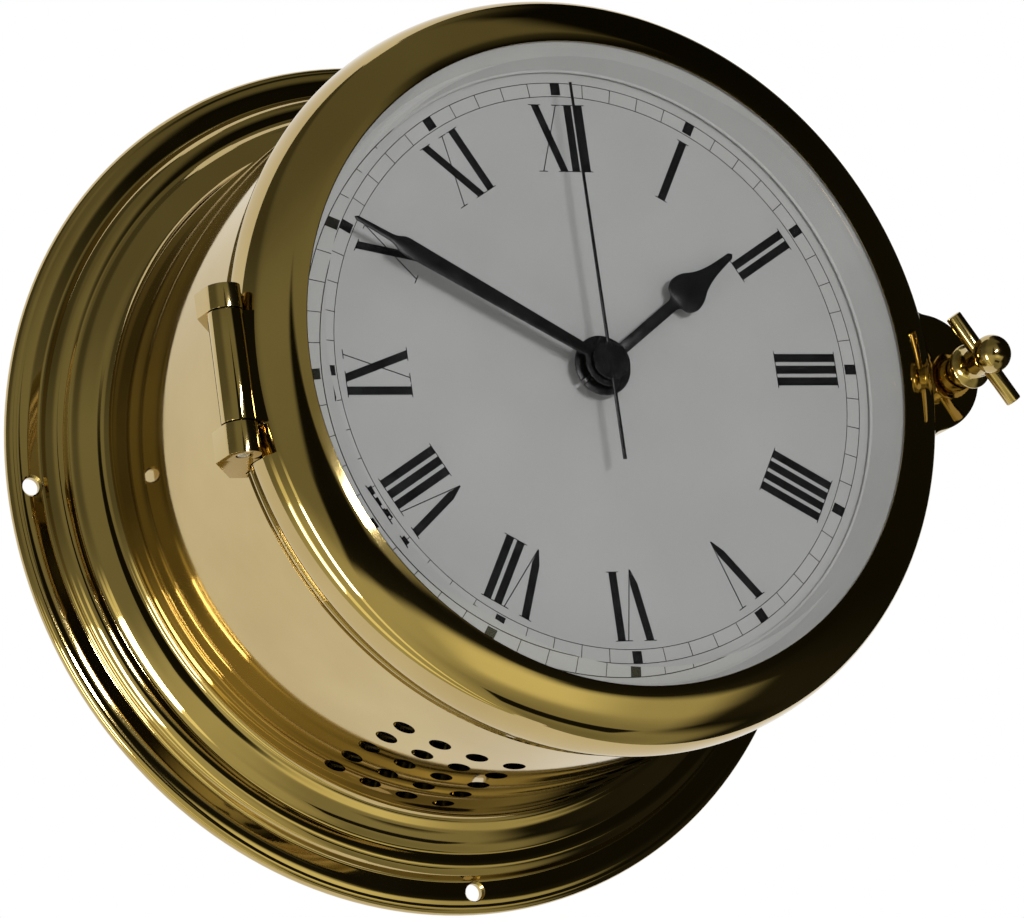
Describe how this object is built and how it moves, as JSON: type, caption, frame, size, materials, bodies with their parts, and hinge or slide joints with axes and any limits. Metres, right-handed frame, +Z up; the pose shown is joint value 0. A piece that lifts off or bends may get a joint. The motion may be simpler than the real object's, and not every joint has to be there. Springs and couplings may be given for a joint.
{
  "type": "marine clock",
  "caption": "Round brass bulkhead clock: turned wall flange, deep drum case with sound holes, hinged bezel with bevelled glass and a tommy-bar lock, Roman dial, black hands.",
  "frame": {"origin": "middle of the flat rear face of the back plate, on the wall", "axes": "+Z up to twelve o'clock, +X to three o'clock, +Y into the wall; the dial faces -Y"},
  "size_m": [0.2108, 0.1135, 0.21],
  "materials": {
    "polished_brass": "polished and lacquered",
    "steel": "plain",
    "black_plate": "satin black",
    "pan_grey": "satin grey",
    "dial_enamel": "matt pale grey with black print",
    "rehaut_white": "satin white",
    "clear_glass": "polished, bevelled rim",
    "hand_black": "satin black",
    "black_plastic": "moulded",
    "wheel_nylon": "moulded, natural",
    "coil_copper": "enamelled wire",
    "board_green": "green board",
    "cell_sleeve": "plain sleeve",
    "cone_paper": "black paper"
  },
  "bodies": {
    "case": {"back_plate": "black_plate", "back_plate_screw_1": "steel", "back_plate_screw_2": "steel", "back_plate_screw_3": "steel", "case_tube": "polished_brass", "cell_contact_negative": "steel", "cell_contact_positive": "steel", "cell_holder": "black_plastic", "circuit_board": "board_green", "coil": "coil_copper", "dial": "dial_enamel", "dial_nut": "polished_brass", "dial_pan": "pan_grey", "hinge_knuckle_lower": "polished_brass", "hinge_knuckle_upper": "polished_brass", "hinge_pin": "steel", "lock_lug": "polished_brass", "mounting_flange": "polished_brass", "movement_cell": "cell_sleeve", "movement_cover": "black_plastic", "movement_housing": "black_plastic", "pan_screw_1": "steel", "pan_screw_2": "steel", "pan_screw_3": "steel", "quartz_crystal": "steel", "rear_ring": "polished_brass", "speaker_baffle": "black_plastic", "speaker_cone": "cone_paper", "speaker_frame": "steel", "speaker_magnet": "steel", "stator": "steel", "strike_cell_1": "cell_sleeve", "strike_cell_2": "cell_sleeve", "strike_module": "black_plastic", "train_bridge": "polished_brass"},
    "bezel": {"bezel_ring": "polished_brass", "glass": "clear_glass", "rehaut_ring": "rehaut_white"},
    "lock_slider": {"lock_collar": "polished_brass"},
    "lock_turner": {"lock_screw": "polished_brass", "tommy_bar": "polished_brass"},
    "second_group": {"second_wheel": "wheel_nylon", "second_hand": "hand_black"},
    "rotor_group": {"rotor": "steel"},
    "intermediate_group": {"intermediate_wheel": "wheel_nylon"},
    "third_group": {"third_wheel": "wheel_nylon"},
    "minute_group": {"centre_wheel": "wheel_nylon", "minute_hand": "hand_black"},
    "setting_group": {"minute_wheel": "wheel_nylon", "setting_knob": "black_plastic"},
    "hour_group": {"hour_wheel": "wheel_nylon", "hour_hand": "hand_black"}
  },
  "joints": [
    {"name": "bezel_hinge", "type": "hinge", "parent": "case", "child": "bezel", "pos_m": [-0.0913, -0.0985, 0], "axis": [0, 0, -1], "range_deg": [0, 110]},
    {"name": "lock_screw_travel", "type": "slide", "parent": "bezel", "child": "lock_slider", "axis": [0, -1, 0], "range_m": [0, 0.004]},
    {"name": "lock_screw_turn", "type": "hinge", "parent": "lock_slider", "child": "lock_turner", "pos_m": [0.0979, -0.1053, 0], "axis": [0, -1, 0], "range_deg": [0, 1801]},
    {"name": "second_turn", "type": "hinge", "parent": "case", "child": "second_group", "pos_m": [0, -0.0832, 0], "axis": [0, 1, 0], "continuous": true},
    {"name": "rotor_turn", "type": "hinge", "parent": "case", "child": "rotor_group", "pos_m": [0.00098, -0.084, 0.01611], "axis": [0, 1, 0], "continuous": true},
    {"name": "intermediate_turn", "type": "hinge", "parent": "case", "child": "intermediate_group", "pos_m": [-0.00321, -0.082, 0.00883], "axis": [0, 1, 0], "continuous": true},
    {"name": "third_turn", "type": "hinge", "parent": "case", "child": "third_group", "pos_m": [0.00886, -0.086, 0.00156], "axis": [0, 1, 0], "continuous": true},
    {"name": "minute_turn", "type": "hinge", "parent": "case", "child": "minute_group", "pos_m": [0, -0.088, 0], "axis": [0, 1, 0], "continuous": true},
    {"name": "setting_turn", "type": "hinge", "parent": "case", "child": "setting_group", "pos_m": [-0.00893, -0.089, -0.00325], "axis": [0, 1, 0], "continuous": true},
    {"name": "hour_turn", "type": "hinge", "parent": "case", "child": "hour_group", "pos_m": [0, -0.0905, 0], "axis": [0, 1, 0], "continuous": true}
  ],
  "couplings": [
    {"joint": "lock_screw_turn", "follows": "lock_screw_travel", "rad_per_m": 7854},
    {"joint": "rotor_turn", "follows": "second_turn", "ratio": 30},
    {"joint": "intermediate_turn", "follows": "second_turn", "ratio": -5},
    {"joint": "third_turn", "follows": "second_turn", "ratio": -0.13333},
    {"joint": "minute_turn", "follows": "second_turn", "ratio": 0.016667},
    {"joint": "setting_turn", "follows": "second_turn", "ratio": -0.0055556},
    {"joint": "hour_turn", "follows": "second_turn", "ratio": 0.0013889}
  ]
}
